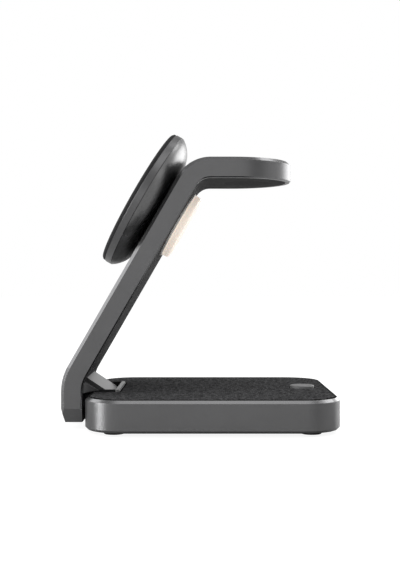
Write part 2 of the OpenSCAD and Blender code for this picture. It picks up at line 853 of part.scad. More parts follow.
module watch_magnet() {
    color(steel) translate([watch_x, 0, puck_ceiling - watch_magnet_t])
        cylinder(h = watch_magnet_t, d = watch_magnet_d);
}

module watch_board() {
    z = head_top - skin_t - puck_flange_t - board_t;
    color(board_green) translate([watch_x, 0, z]) linear_extrude(board_t)
        round_rect(watch_board_l, watch_board_w, puck_flange);
}

// Round plug in the underside of the head, stepped to seat in the cover
module head_plug() {
    z = head_top - arm_t;
    color(black) translate([plug_x, 0, z]) {
        cylinder(h = cover_t / 2, d = plug_d);
        cylinder(h = cover_t, d = plug_d - 2 * plug_step - fit);
    }
}

// Front pad: a shallow dish with a raised ring over the magnets
module phone_pad() {
    r = disc_r - seam;
    ring_0 = pad_ring_at - pad_ring_w / 2;
    ring_1 = pad_ring_at + pad_ring_w / 2;
    color(black) on_leg(disc_u) rotate_extrude() polygon([
        [0, pad_z], [r, pad_z], [r, disc_reach - 2 * soft_edge], [r - 2 * soft_edge, disc_reach],
        [ring_1, disc_reach], [ring_1 - pad_dish, disc_reach - pad_dish],
        [ring_0 + pad_dish, disc_reach - pad_dish], [ring_0, disc_reach],
        [ring_0 - pad_dish, disc_reach], [ring_0 - 2 * pad_dish, disc_reach - pad_dish],
        [0, disc_reach - pad_dish]
    ]);
}

module phone_rim() {
    color(metal_grey) on_leg(disc_u) rotate_extrude() polygon([
        [disc_r - rim_wall, rim_z], [disc_r - seam, rim_z], [disc_r, rim_z + seam],
        [disc_r, pad_z - seam], [disc_r - seam, pad_z], [disc_r - rim_wall, pad_z]
    ]);
}

// Section of the rounded back at a distance inside its outer surface
module dome_section(inset) {
    flat_r = disc_r - dome_r;
    intersection() {
        union() {
            translate([flat_r, back_gap + dome_r]) circle(dome_r - inset);
            translate([0, back_gap + inset]) square([flat_r, dome_r - inset]);
        }
        translate([0, back_gap + inset]) square([disc_r, rim_z - back_gap - inset + over]);
    }
}

// Glossy back shell: a bowl on a round seat, with standoffs for the board
module phone_back_shell() {
    color(black) on_leg(disc_u) difference() {
        union() {
            difference() {
                rotate_extrude() intersection() {
                    dome_section(0);
                    square([disc_r, rim_z]);
                }
                rotate_extrude() dome_section(shell_t);
            }
            cylinder(h = back_gap + over, r = neck_seat_r);
            rotate([0, 0, 180 / phone_screw_n]) for (i = [0 : phone_screw_n - 1])
                rotate([0, 0, i * 360 / phone_screw_n]) translate([standoff_at, 0, back_gap])
                cylinder(h = phone_board_z - back_gap, d = standoff_d);
        }
        translate([0, 0, -over]) cylinder(h = back_gap + shell_t + 2 * over, d = wire_hole_d);
        phone_screw_places() translate([0, 0, -over])
            cylinder(h = back_gap + shell_t + 2 * over, d = screw_d + fit);
    }
}

module phone_magnets() {
    step = 360 / magnet_n;
    span = step * magnet_fill_share;
    color(steel) on_leg(disc_u) for (i = [0 : magnet_n - 1]) rotate([0, 0, i * step])
        translate([0, 0, pad_z - magnet_t]) linear_extrude(magnet_t)
        ring_sector(magnet_at - magnet_w / 2, magnet_at + magnet_w / 2, -span / 2, span / 2);
}

module phone_coil() {
    color(copper) on_leg(disc_u) translate([0, 0, pad_z]) mirror([0, 0, 1])
        winding(phone_coil_d, phone_coil_hole, coil_t);
}

module phone_ferrite() {
    color(dark_grey) on_leg(disc_u) translate([0, 0, pad_z - coil_t - ferrite_t])
        cylinder(h = ferrite_t, d = phone_coil_d);
}

module phone_board() {
    color(board_green) on_leg(disc_u) translate([0, 0, phone_board_z]) {
        cylinder(h = board_t, d = phone_board_d);
    }
}

module phone_screws() {
    color(steel) on_leg(disc_u) phone_screw_places() translate([0, 0, back_gap + shell_t])
        screw(back_gap + shell_t + phone_screw_in);
}

// White ring of the night light: a flange on the cover and a collar through it
module light_ring() {
    flange_r = light_d / 2 + ring_over;
    collar_r = light_collar_d / 2;
    in_r = collar_r - ring_over;
    deep = -cover_t - ring_t;
    color(white) on_inner(light_u) rotate_extrude() polygon([
        [in_r, ring_t], [flange_r - soft_edge, ring_t], [flange_r, ring_t - soft_edge],
        [flange_r, 0], [collar_r, 0], [collar_r, deep], [in_r - light_lip, deep],
        [in_r - light_lip, deep + ring_t], [in_r, deep + ring_t]
    ]);
}

// Cream diffuser: a shallow cup with a rounded edge
module light_diffuser() {
    r = light_d / 2;
    top = ring_t + light_h;
    color(cream) on_inner(light_u) difference() {
        rotate_extrude() {
            translate([0, ring_t]) square([r, light_h - light_edge]);
            translate([0, ring_t]) square([r - light_edge, light_h]);
            translate([r - light_edge, top - light_edge]) circle(light_edge);
        }
        translate([0, 0, ring_t - over]) cylinder(h = light_h - light_wall + over, r = r - light_wall);
    }
}

module light_board() {
    color(white) on_inner(light_u) translate([0, 0, light_board_z])
        cylinder(h = board_t, r = light_collar_d / 2 - ring_over - fit);
}

module light_leds() {
    color("gold") on_inner(light_u) for (i = [0 : led_n - 1]) rotate([0, 0, i * 360 / led_n])
        translate([led_at - led_w / 2, -led_l / 2, light_board_z + board_t])
        cube([led_w, led_l, led_h]);
}

base_frame();
base_floor();
base_deck();
fabric_top();
slot_trim();
lamp_button();
button_switch();
base_board();
usb_c_socket();
base_coil();
base_ferrite();
ballast_plate();
base_feet();
base_screws();
arm_frame();
arm_cover();
arm_flex_cable();
brace_block();
brace_plate();
brace_screws();
watch_puck();
watch_coil();
watch_ferrite();
watch_magnet();
watch_board();
head_plug();
phone_pad();
phone_rim();
phone_back_shell();
phone_magnets();
phone_coil();
phone_ferrite();
phone_board();
phone_screws();
light_ring();
light_diffuser();
light_board();
light_leds();
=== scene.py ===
# %% [markdown]
# # A four in one charging stand, dressed around its CAD frame
# The stand holds a phone on a tilted disc, a watch on its round head and earbuds on its fabric
# base, and has a small lamp under the head. The imported CAD part comes in first and never moves.
# Every other step adds a finish to one of its nodes, or builds a finer piece that stands for a
# node. Such pieces could be modelled from nothing in Blender, but a start from the CAD nodes
# keeps every size true.

# %% Load the frame
import math

import bmesh
import bpy
from mathutils import Matrix, Vector


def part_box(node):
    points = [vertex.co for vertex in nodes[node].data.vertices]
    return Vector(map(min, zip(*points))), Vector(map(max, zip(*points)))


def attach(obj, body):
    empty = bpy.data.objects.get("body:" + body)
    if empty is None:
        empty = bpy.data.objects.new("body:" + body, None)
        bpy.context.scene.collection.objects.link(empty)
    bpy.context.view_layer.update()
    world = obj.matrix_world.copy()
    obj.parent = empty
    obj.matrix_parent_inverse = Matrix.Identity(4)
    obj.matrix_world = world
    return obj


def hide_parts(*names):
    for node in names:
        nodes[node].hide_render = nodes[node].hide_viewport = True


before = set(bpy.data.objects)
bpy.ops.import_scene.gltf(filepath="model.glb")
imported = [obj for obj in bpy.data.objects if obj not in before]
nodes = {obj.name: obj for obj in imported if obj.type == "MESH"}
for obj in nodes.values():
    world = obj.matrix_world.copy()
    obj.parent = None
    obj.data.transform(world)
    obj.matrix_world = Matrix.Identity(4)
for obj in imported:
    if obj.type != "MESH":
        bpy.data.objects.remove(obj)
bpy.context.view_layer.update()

# %% [markdown]
# ## Camera
# The photo looks at the stand from the side, level, from about half way up, and from so near
# that the far edges are a tenth smaller than the near ones. A camera could be turned by eye
# until the picture fits, but here the lens is worked out from the picture: 2.4 px to a
# millimetre in the stand's middle plane, and a focal length of 1000 px. The picture is cropped
# a little off its optical axis, and a small shift of the lens brings that back without a tilt,
# so upright edges stay upright.

# %% Place the camera
IMAGE_H_PX = 570
FOCAL_PX = 1000
PX_PER_M = 2400
AXIS_ABOVE_CENTRE_PX = 5
SENSOR_MM = 36
EYE_HEIGHT = 0.0588
EYE_X = 0.00025
NEAREST_SEEN = 0.01

camera_data = bpy.data.cameras.new("side_view")
camera_data.sensor_width = SENSOR_MM
camera_data.lens = FOCAL_PX / IMAGE_H_PX * SENSOR_MM
camera_data.shift_y = -AXIS_ABOVE_CENTRE_PX / IMAGE_H_PX
camera_data.clip_start = NEAREST_SEEN
camera = bpy.data.objects.new("side_view", camera_data)
camera.location = (EYE_X, -FOCAL_PX / PX_PER_M, EYE_HEIGHT)
camera.rotation_euler = (math.radians(90), 0, 0)
bpy.context.scene.collection.objects.link(camera)
bpy.context.scene.camera = camera
bpy.context.scene.view_settings.view_transform = "Standard"
print("lens", round(camera_data.lens, 2), "mm, distance", round(FOCAL_PX / PX_PER_M, 3), "m")

# %% [markdown]
# ## Nodes from a script
# Finishes, the weave, the world and the floor are all node trees. In the editor each node would
# be added and joined by hand. In a script, two small helpers do the same: one fills a node's
# inputs, with a number or with a link from another node, and one adds a node and fills it.

# %% Helpers for node trees
def fill(tree, node, inputs):
    """Sets a node's inputs by name or number, or links them to another node's output."""
    for key, value in inputs.items():
        if isinstance(value, bpy.types.NodeSocket):
            tree.links.new(value, node.inputs[key])
        else:
            node.inputs[key].default_value = value


def add(tree, kind, inputs=None, **settings):
    """Adds a node, with its properties in settings, and fills its inputs."""
    node = tree.nodes.new(kind)
    for key, value in settings.items():
        setattr(node, key, value)
    fill(tree, node, inputs or {})
    return node


def calculate(tree, operation, a, b=None):
    """One step of arithmetic on numbers."""
    inputs = {0: a} if b is None else {0: a, 1: b}
    return add(tree, "ShaderNodeMath", inputs, operation=operation).outputs[0]


def combine(tree, operation, a, b, output=0):
    """One step of arithmetic on vectors."""
    step = add(tree, "ShaderNodeVectorMath", {0: a, 1: b}, operation=operation)
    return step.outputs[output]


# %% [markdown]
# ## Patterns for finishes
# A real finish is never one flat colour: it has a grain, and small changes from place to place.
# Picture textures could give that, but they need a map and blur close up, so each pattern here
# is a noise. It reads Object coordinates: every finished piece sits at the origin, so these are
# metres in the stand's own frame, and a grain keeps its real size. Most of a noise lies in the
# middle of its range, so only that part is spread over the colours or roughnesses.

# %% Helpers for finishes
PATTERN_LOW, PATTERN_HIGH = 0.3, 0.7


def new_finish(name, colour, roughness, metallic=0.0):
    """A material with a Principled shader, and its node tree."""
    finish = bpy.data.materials.new(name)
    finish.use_nodes = True
    tree = finish.node_tree
    shader = tree.nodes["Principled BSDF"]
    fill(tree, shader, {"Base Color": (*colour, 1), "Roughness": roughness, "Metallic": metallic})
    return finish, tree, shader


def noise_at(tree, size_m, stretch=(1, 1, 1), turn=(0, 0, 0), detail=3):
    """A noise pattern with grains of about size_m, on Object coordinates."""
    place = add(tree, "ShaderNodeTexCoord").outputs["Object"]
    mapping = add(tree, "ShaderNodeMapping", {
        "Vector": place, "Rotation": turn, "Scale": stretch})
    return add(tree, "ShaderNodeTexNoise", {
        "Vector": mapping.outputs["Vector"], "Scale": 1 / size_m,
        "Detail": detail}).outputs["Fac"]


def spread(tree, pattern, low, high):
    """Turns a pattern's middle range into values from low to high."""
    return add(tree, "ShaderNodeMapRange", {
        "Value": pattern, "From Min": PATTERN_LOW, "From Max": PATTERN_HIGH,
        "To Min": low, "To Max": high}).outputs["Result"]


def tint(tree, pattern, dark, light):
    """Mixes two colours by a pattern."""
    ramp = add(tree, "ShaderNodeValToRGB", {"Fac": pattern})
    ends = zip(ramp.color_ramp.elements, (PATTERN_LOW, PATTERN_HIGH), (dark, light))
    for stop, position, colour in ends:
        stop.position = position
        stop.color = (*colour, 1)
    return ramp.outputs["Color"]


def tint_around(tree, pattern, colour, change):
    """Makes one colour a share lighter and darker by a pattern."""
    dark, light = (tuple(min(1.0, part * share) for part in colour)
                   for share in (1 - change, 1 + change))
    return tint(tree, pattern, dark, light)


def grain(tree, shader, pattern, height_m):
    """Raises the surface by a pattern, for the light only."""
    bump = add(tree, "ShaderNodeBump", {
        "Height": pattern, "Distance": height_m, "Strength": 1.0})
    fill(tree, shader, {"Normal": bump.outputs["Normal"]})


# %% [markdown]
# ## The aluminium
# The band, the arm and the disc's rim are one metal: blasted with fine beads and anodised dark
# grey, so it mirrors its surroundings softly, with no lines. The bevels are smoother, and their
# lighter grey is a painted highlight that adds to the bright lines the lamps draw on them. The
# slot's bar and the button are a lighter, duller grey, and the plate of the brace is brushed
# along its slope. One recipe with a bead grain serves all but the brushed ones, whose noise is
# squeezed in two directions, which draws it out into long fine scratches along the third.

# %% Finishes for the metal
DARK_METAL = (0.146, 0.146, 0.148)
CUT_METAL_PAINTED_HIGHLIGHT = (0.185, 0.185, 0.188)
LIGHT_METAL = (0.29, 0.29, 0.292)
BUTTON_METAL = (0.24, 0.24, 0.242)
STEEL = (0.5, 0.5, 0.51)
BEAD_M, BEAD_HIGH_M = 0.00012, 0.000006
SMEAR_M = 0.012
SCRATCH_M, SCRATCH_HIGH_M = 0.0004, 0.000008
PLATE_SLOPE = math.radians(33.5)


def blasted_metal(name, colour, roughness):
    """Fine bead grain, and slow changes from place to place."""
    finish, tree, shader = new_finish(name, colour, roughness, 1.0)
    beads = noise_at(tree, BEAD_M)
    fill(tree, shader, {
        "Base Color": tint_around(tree, noise_at(tree, SMEAR_M), colour, 0.03),
        "Roughness": spread(tree, beads, roughness - 0.03, roughness + 0.03)})
    grain(tree, shader, beads, BEAD_HIGH_M)
    return finish


def brushed_metal(name, colour, roughness, stretch, turn=(0, 0, 0)):
    """Long fine scratches along the direction that stretch leaves small."""
    finish, tree, shader = new_finish(name, colour, roughness, 1.0)
    lines = noise_at(tree, SCRATCH_M, stretch, turn, detail=5)
    fill(tree, shader, {
        "Base Color": tint_around(tree, lines, colour, 0.07),
        "Roughness": spread(tree, lines, roughness - 0.05, roughness + 0.06)})
    grain(tree, shader, lines, SCRATCH_HIGH_M)
    return finish


blasted = blasted_metal("blasted_dark_metal", DARK_METAL, 0.34)
# The bevels' lower roughness is their own; their lighter grey is a painted highlight.
cut_edge_painted_highlight = blasted_metal("cut_edge_with_painted_highlight", CUT_METAL_PAINTED_HIGHLIGHT, 0.25)
light_satin = blasted_metal("light_satin_metal", LIGHT_METAL, 0.4)
button_satin = blasted_metal("button_satin_metal", BUTTON_METAL, 0.6)
brushed_plate = brushed_metal("brushed_plate", LIGHT_METAL, 0.42, (0.05, 1, 0.05),
                              (0, PLATE_SLOPE, 0))
plain_steel = brushed_metal("plain_steel", STEEL, 0.3, (1, 1, 0.1))
print("metal finishes:", blasted.name, cut_edge_painted_highlight.name, light_satin.name, brushed_plate.name)

# %% [markdown]
# ## The plastics
# The arm's inner cover, the gusset and the base's plates are moulded with a fine matte texture,
# and the disc's front pad is soft and dull. A mould is spark eroded to get such a texture, and
# here a fine noise gives the same small bumps. These faces are mostly seen at a low angle,
# where any shiny coat would mirror the white room, so their sheen is turned down.

# %% Finishes for moulded plastic and rubber
DULL = 0.03
SPARK_M, SPARK_HIGH_M = 0.0003, 0.00002


def moulded(name, colour, roughness=0.6, texture_m=SPARK_M, height_m=SPARK_HIGH_M,
            sheen=0.5, change=0.12):
    """Spark-textured plastic: fine bumps, with a little change of colour."""
    finish, tree, shader = new_finish(name, colour, roughness)
    fine = noise_at(tree, texture_m)
    fill(tree, shader, {
        "Specular IOR Level": sheen, "Base Color": tint_around(tree, fine, colour, change),
        "Roughness": spread(tree, fine, roughness - 0.05, roughness + 0.05)})
    grain(tree, shader, fine, height_m)
    return finish


# The darkest moulding is also laid as painted shade on the arm's inner face and the slot trim's
# side strips.
dark_moulding_and_painted_shade = moulded("dark_moulding_and_painted_shade", (0.026, 0.026, 0.027), sheen=DULL)
gusset_moulding = moulded("gusset_moulding", (0.1, 0.1, 0.102), sheen=DULL)
plug_moulding = moulded("plug_moulding", (0.013, 0.013, 0.014), sheen=DULL)
black_moulding = moulded("black_moulding", (0.009, 0.009, 0.01), sheen=DULL)
soft_pad = moulded("soft_pad", (0.04, 0.04, 0.041), 0.62, 0.00018, 0.000015, DULL)
foot_rubber = moulded("foot_rubber", (0.02, 0.02, 0.021), 0.7, 0.00025, 0.00003)
white_moulding = moulded("white_moulding", (0.82, 0.8, 0.77), 0.45, 0.0004, 0.00001)
print("matte plastics:", dark_moulding_and_painted_shade.name, gusset_moulding.name, soft_pad.name)

# %% [markdown]
# The disc's back shell is the one glossy piece: black, with a hard lacquer that mirrors more
# than plain plastic does, so its refraction is raised. The mirror image is a soft band in the
# photo, which takes a middling roughness instead of a polish.

# %% Finish of the glossy shell
GLOSS_FINE_M, GLOSS_GRAIN_M, GLOSS_HIGH_M = 0.0004, 0.0002, 0.000003

gloss_shell, gloss_tree, gloss_shader = new_finish("gloss_shell", (0.008, 0.008, 0.009), 0.3)
fill(gloss_tree, gloss_shader, {
    "Specular IOR Level": 1.0, "IOR": 1.9,
    "Roughness": spread(gloss_tree, noise_at(gloss_tree, GLOSS_FINE_M), 0.27, 0.33)})
grain(gloss_tree, gloss_shader, noise_at(gloss_tree, GLOSS_GRAIN_M), GLOSS_HIGH_M)
print("gloss finish:", gloss_shell.name)

# %% [markdown]
# The lamp is a warm white moulding that lets light through. A small light inside it would be
# the real way, but it would cost much time to render. Some scattering below the surface and a
# faint warm glow of its own give the same look from outside.

# %% Finish of the lamp
diffuser = moulded("warm_diffuser", (0.86, 0.78, 0.7), 0.42, 0.0008, 0.000008, change=0.02)
fill(diffuser.node_tree, diffuser.node_tree.nodes["Principled BSDF"], {
    "Subsurface Weight": 0.35, "Subsurface Radius": (0.004, 0.003, 0.002),
    "Subsurface Scale": 0.5, "Emission Color": (1.0, 0.89, 0.79, 1), "Emission Strength": 0.5})
print("lamp finish:", diffuser.name)

# %% [markdown]
# The pieces inside the stand have their own plain finishes: enamelled copper for the coils,
# pressed ferrite behind them, green boards and small yellow lamp chips. They are hidden at
# rest, and show when the part is opened up or cut.

# %% Finishes of the inner pieces
green_board = moulded("green_board", (0.01, 0.07, 0.035), 0.4, 0.0006)
dull_ferrite = moulded("dull_ferrite", (0.05, 0.048, 0.047), 0.8, 0.0004, 0.00003)
lamp_chip = moulded("lamp_chip", (0.85, 0.7, 0.3), 0.3, height_m=0.00001)

ENAMEL_M = 0.0005
copper, copper_tree, copper_shader = new_finish("enamelled_copper", (0.45, 0.16, 0.07), 0.3, 1.0)
fill(copper_tree, copper_shader, {
    "Base Color": tint(copper_tree, noise_at(copper_tree, ENAMEL_M),
                       (0.36, 0.12, 0.05), (0.52, 0.2, 0.09))})
print("inner finishes:", green_board.name, dull_ferrite.name, lamp_chip.name, copper.name)

# %% [markdown]
# ## Finishes on the CAD nodes
# Most rigid nodes already have the right shape, so they stay as they are and get one finish
# each. A node's slots are cleared first, so that the finish is sure to be the only one.

# %% Give each node its finish
FINISH_OF = {
    "base_frame": blasted, "arm_frame": blasted, "phone_rim": blasted,
    "slot_trim": light_satin, "lamp_button": button_satin, "brace_plate": brushed_plate,
    "arm_cover": dark_moulding_and_painted_shade, "brace_block": gusset_moulding, "head_plug": plug_moulding,
    "base_floor": dark_moulding_and_painted_shade, "base_deck": black_moulding, "button_switch": black_moulding,
    "fabric_top": black_moulding, "phone_pad": soft_pad, "phone_back_shell": gloss_shell,
    "base_feet": foot_rubber, "watch_puck": white_moulding, "light_ring": white_moulding,
    "light_board": white_moulding, "light_diffuser": diffuser, "light_leds": lamp_chip,
    "base_coil": copper, "watch_coil": copper, "phone_coil": copper, "arm_flex_cable": copper,
    "base_ferrite": dull_ferrite, "watch_ferrite": dull_ferrite, "phone_ferrite": dull_ferrite,
    "base_board": green_board, "watch_board": green_board, "phone_board": green_board,
    "usb_c_socket": plain_steel, "ballast_plate": plain_steel, "base_screws": plain_steel,
    "brace_screws": plain_steel, "phone_screws": plain_steel, "watch_magnet": plain_steel,
    "phone_magnets": plain_steel,
}
for name, node in nodes.items():
    node.data.materials.clear()
    node.data.materials.append(FINISH_OF[name])
print("finishes given to", len(nodes), "nodes")

# %% [markdown]
# ## The cut bevels
# The bevels of the band and the arm are bright lines in the photo. They are flat faces of the
# same mesh, so they need no new shape, only a second material slot, which leaves every vertex
# where it was. The faces are found by the way they face: a bevel leans between the top and the
# wall. Along the arm it leans to the side, and round the head's tip, where the wall itself
# turns, it is found by how far it leans up or down.

# %% Pick out the cut bevels
SLANT_LEAST, SLANT_MOST = 0.3, 0.9
TIP_LENGTH = 0.025
BEVEL_REACH = 0.002
tip_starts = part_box("arm_frame")[1].x - TIP_LENGTH
band_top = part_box("base_frame")[1].z


def is_slanted(part_of_normal):
    """Whether a face leans, by one part of its normal."""
    return SLANT_LEAST < abs(part_of_normal) < SLANT_MOST


def repaint(node, finish, is_meant):
    """Puts another finish on the faces that the rule picks."""
    node.data.materials.append(finish)
    picked = [face for face in node.data.polygons if is_meant(face)]
    for face in picked:
        face.material_index = len(node.data.materials) - 1
    print(node.name, finish.name, "faces:", len(picked))


# The bevels take the lighter metal, a painted highlight on top of the lamps' bright lines.
repaint(nodes["base_frame"], cut_edge_painted_highlight, lambda face: is_slanted(face.normal.z)
        and face.center.z > band_top - BEVEL_REACH)
repaint(nodes["arm_frame"], cut_edge_painted_highlight, lambda face: is_slanted(face.normal.y)
        if face.center.x < tip_starts else is_slanted(face.normal.z))

# %% [markdown]
# The arm's inner face takes its cover's dark finish as painted shade: seen from the side it lies
# nearly along the view, where bare metal would mirror the white room and show bright. The edges
# of the brace plate take the finish of the gusset under it.

# %% Paint shade on the arm's inner face, and the gusset's finish on the plate's edges
TURNED_IN, SQUARE_ON, HARDLY = 0.8, 0.85, 0.1
# The arm's inner face gets the dark moulding as painted shade.
repaint(nodes["arm_frame"], dark_moulding_and_painted_shade, lambda face: face.normal.x > TURNED_IN
        and abs(face.normal.y) < HARDLY and face.center.x < tip_starts)
repaint(nodes["brace_plate"], gusset_moulding, lambda face: abs(face.normal.y) > SQUARE_ON)

# %% [markdown]
# ## Pieces made from a node's mesh
# Three pieces need more than paint. Their meshes could be drawn again, but a copy of the node
# already has the right size and place. A CAD mesh is loose triangles, so the copy's doubled
# corners are joined first. It is edited as a bmesh, and at the end it is shaded smooth, apart
# from the edges that turn more sharply than an angle.

# %% Helpers for pieces made from a node's mesh
SAME_PLACE = 1e-7


def remake(node_name, piece_name):
    """A copy of a node's mesh with its split corners joined, as a new piece and a bmesh."""
    mesh = nodes[node_name].data.copy()
    piece = bpy.data.objects.new(piece_name, mesh)
    bpy.context.scene.collection.objects.link(piece)
    shape = bmesh.new()
    shape.from_mesh(mesh)
    bmesh.ops.remove_doubles(shape, verts=shape.verts, dist=SAME_PLACE)
    return piece, shape


def settle(piece, shape, smooth_below=30):
    """Writes the bmesh back, and keeps edges sharper than the angle as edges."""
    for face in shape.faces:
        face.smooth = True
    shape.to_mesh(piece.data)
    shape.free()
    piece.data.set_sharp_from_angle(angle=math.radians(smooth_below))
    print(piece.name, "faces:", len(piece.data.polygons))


# %% [markdown]
# ## The slot's trim
# The trim holds the fabric's cut edge round the slot. Only its end bar shows as bare metal, and
# the two side strips take the dark moulding as painted shade, the dark line under the brace plate.
# Paint alone can't end inside a face, so the copy is cut across where the bar starts, and the
# faces before the cut take the dark slot.

# %% Trim with painted shade on its side strips
BAR_W = 0.0015
bar_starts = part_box("slot_trim")[1].x - BAR_W
trim, shape = remake("slot_trim", "slot_bar")
bmesh.ops.bisect_plane(shape, geom=shape.verts[:] + shape.edges[:] + shape.faces[:],
                       plane_co=(bar_starts, 0, 0), plane_no=(1, 0, 0))
# The side strips get the dark moulding as painted shade.
trim.data.materials.append(dark_moulding_and_painted_shade)
for face in shape.faces:
    face.material_index = int(face.calc_center_median().x < bar_starts)
settle(trim, shape)
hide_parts("slot_trim")
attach(trim, "stand")

# %% [markdown]
# ## The disc's shell
# The shell's back leaves the rim with a clear edge in the photo, and then runs round in one
# wide arc, wider than the node's. A bevel can't widen an arc that is there already, and a fresh
# lathe would lose the holes and bosses inside. So each corner that lies on the old arc, on the
# outer wall or the inner one, keeps its depth along the disc's axis and moves in to the wider
# arc. All other corners stay.

# %% Shell with a wider arc
LEAN = math.radians(60)
RIM_MIDDLE = 0.0085
BACK_GAP, SHELL_T = 0.001, 0.0016
OLD_R, NEW_R = 0.008, 0.0125
EDGE_IN, EDGE_ABOVE_BACK = 0.0002, 0.0058
NEAR_ARC, SLACK = 0.00006, 1e-6

rim_low, rim_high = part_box("phone_rim")
disc_radius = (rim_high.y - rim_low.y) / 2
out_of_arm = Vector((-math.sin(LEAN), 0, math.cos(LEAN)))
arm_face = (rim_low + rim_high) / 2 - out_of_arm * RIM_MIDDLE
old_flat = disc_radius - OLD_R
new_flat = disc_radius - EDGE_IN - math.sqrt(NEW_R ** 2 - (NEW_R - EDGE_ABOVE_BACK) ** 2)


def arc_reach(radius, wall, depth):
    """How far an arc of the back reaches out at a depth, or None below its lowest point."""
    drop = BACK_GAP + radius - depth
    if drop > radius - wall + SLACK:
        return None
    return math.sqrt(max(0.0, (radius - wall) ** 2 - drop ** 2))


def wider(from_axis, depth):
    """The new distance from the disc's axis of a corner on the old arc, and None off it."""
    for wall in (0.0, SHELL_T):
        reach = arc_reach(OLD_R, wall, depth)
        if reach is not None and abs(old_flat + reach - from_axis) < NEAR_ARC:
            return new_flat + (arc_reach(NEW_R, wall, depth) or 0.0)
    return None


shell, shape = remake("phone_back_shell", "phone_shell")
moved_count = 0
for corner in shape.verts:
    out = corner.co - arm_face
    depth = out.dot(out_of_arm)
    radial = out - out_of_arm * depth
    target = wider(radial.length, depth)
    if target is not None and radial.length > old_flat - 10 * SLACK:
        corner.co = arm_face + out_of_arm * depth + radial.normalized() * target
        moved_count += 1
print("corners moved to the wider arc:", moved_count, "of", len(shape.verts))
settle(shell, shape)
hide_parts("phone_back_shell")
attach(shell, "stand")

# %% [markdown]
# ## The fabric top
# The base's top is a dark woven sheet, stretched over the deck and bonded to it. Its threads
# are not all of one grey: each has taken the dye a little differently, and its fibres vary
# along it. A picture of cloth could show that, but an attribute on the threads is simpler. It
# holds one shade for each thread, and a fine noise varies it along the fibres.

# %% Finish of the woven sheet
# The gap colour is painted shade between the threads: the sheet under them has no dye value and
# shows it, and the threads mix it in as a darker dye.
GAP_SHADE_AND_DARK_DYE_COLOUR = (0.012, 0.012, 0.0125)
THREAD_COLOUR = (0.125, 0.125, 0.128)
FIBRE_M, FIBRE_HIGH_M = 0.0004, 0.00003

woven, woven_tree, woven_shader = new_finish("woven_threads", THREAD_COLOUR, 0.8)
fibres = noise_at(woven_tree, FIBRE_M, (1, 0.5, 1), (0, 0, 0.2), detail=4)
shade = add(woven_tree, "ShaderNodeAttribute", attribute_name="thread_dye").outputs["Fac"]
dyed_fibres = calculate(woven_tree, "MULTIPLY", shade, spread(woven_tree, fibres, 0.75, 1.25))
greys = add(woven_tree, "ShaderNodeMix", data_type="RGBA")
fill(woven_tree, greys, {
    "A": (*GAP_SHADE_AND_DARK_DYE_COLOUR, 1), "B": (*THREAD_COLOUR, 1), "Factor": dyed_fibres})
fill(woven_tree, woven_shader, {
    "Specular IOR Level": 0.0, "Base Color": greys.outputs["Result"]})
grain(woven_tree, woven_shader, fibres, FIBRE_HIGH_M)
print("fabric finish:", woven.name)

# %% [markdown]
# The sheet itself is a copy of its node. Its flat top is let down by the depth of the weave, so
# that the threads on it come up to the height of the real top and the box stays the same.

# %% The sheet under the threads
WEAVE_DEPTH = 0.00018
sheet_low, sheet_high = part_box("fabric_top")
sheet_size = sheet_high - sheet_low
fabric_sheet, shape = remake("fabric_top", "fabric_sheet")
# With no dye value, the sheet shows the gap colour, painted shade between the threads.
fabric_sheet.data.materials.clear()
fabric_sheet.data.materials.append(woven)
for corner in shape.verts:
    if corner.co.z > sheet_high.z - WEAVE_DEPTH / 2:
        corner.co.z = sheet_high.z - WEAVE_DEPTH
settle(fabric_sheet, shape)

# %% [markdown]
# ## One thread
# In a plain weave each thread goes over one crossing thread and under the next, so all that
# shows at a crossing is a short low arch. A bump map would look flat at the near edge, where
# the camera looks along the surface, so the arch is a real mesh. It is repeated thousands of
# times and has only eight faces. It is drawn one unit long, and is scaled to the real pitch
# where it is placed.

# %% One thread hump
FACES_ALONG, FACES_ACROSS = 4, 2
HUMP_LONG_SHARE, HUMP_WIDE_SHARE = 1.25, 0.86
NARROWING_SHARE = 0.25


def hump_mesh(length, width):
    """A low arch of one thread: highest in the middle, sunk and narrower at both ends."""
    points, faces = [], []
    for i in range(FACES_ALONG + 1):
        u = 2 * i / FACES_ALONG - 1
        for j in range(FACES_ACROSS + 1):
            v = 2 * j / FACES_ACROSS - 1
            rise = (1 - u * u) * math.sqrt(max(0.0, 1 - v * v))
            points.append((u * length / 2, v * width / 2 * (1 - NARROWING_SHARE * u * u), rise))
    for i in range(FACES_ALONG):
        for j in range(FACES_ACROSS):
            k = i * (FACES_ACROSS + 1) + j
            faces.append((k, k + FACES_ACROSS + 1, k + FACES_ACROSS + 2, k + 1))
    mesh = bpy.data.meshes.new("thread_hump")
    mesh.from_pydata(points, [], faces)
    for face in mesh.polygons:
        face.use_smooth = True
    return mesh


hump = bpy.data.objects.new("thread_hump", hump_mesh(HUMP_LONG_SHARE, HUMP_WIDE_SHARE))
bpy.context.scene.collection.objects.link(hump)
print("faces in a hump:", len(hump.data.polygons))

# %% [markdown]
# ## Trees for what repeats
# Array modifiers can repeat a piece, but only in plain rows. A Geometry Nodes tree can also
# leave out places and turn or tint each copy. A tree gets named inputs here, as in the
# modifier's panel. It is run once on a carrier object, and the result is kept as a plain mesh,
# because the export drops instances.

# %% Helpers for repeated pieces
def new_tree(name, inputs):
    """A Geometry Nodes tree with a geometry input, the named inputs and one output."""
    tree = bpy.data.node_groups.new(name, "GeometryNodeTree")
    tree.interface.new_socket("Geometry", in_out="INPUT", socket_type="NodeSocketGeometry")
    sockets = {}
    for label, kind, value in inputs:
        socket = tree.interface.new_socket(label, in_out="INPUT", socket_type="NodeSocket" + kind)
        if value is not None:
            socket.default_value = value
        sockets[label] = socket.identifier
    tree.interface.new_socket("Geometry", in_out="OUTPUT", socket_type="NodeSocketGeometry")
    return tree, tree.nodes.new("NodeGroupInput").outputs, sockets


